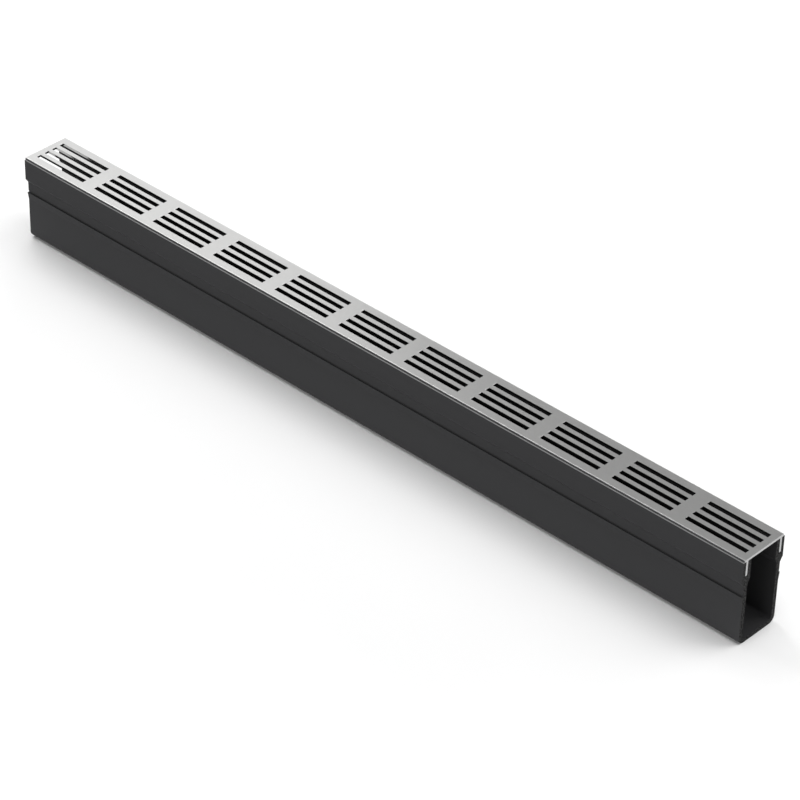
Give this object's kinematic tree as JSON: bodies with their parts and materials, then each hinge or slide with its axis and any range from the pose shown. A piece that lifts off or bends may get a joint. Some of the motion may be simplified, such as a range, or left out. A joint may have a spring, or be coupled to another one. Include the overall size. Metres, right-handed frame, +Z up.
{
  "type": "channel drain",
  "caption": "Narrow one-metre channel drain: an extruded black plastic U-channel, open at both ends, with a slotted satin metal grate seated in its head.",
  "frame": {"origin": "middle of the channel's flat underside", "axes": "+X along the drain, +Y across it, +Z up to the grate"},
  "size_m": [1, 0.061, 0.1036],
  "materials": {
    "black_plastic": "matt, extruded, with saw-cut ends",
    "satin_metal": "satin, lightly bead-blasted"
  },
  "bodies": {
    "root": {"channel_body": "black_plastic", "grate": "satin_metal"}
  },
  "joints": []
}
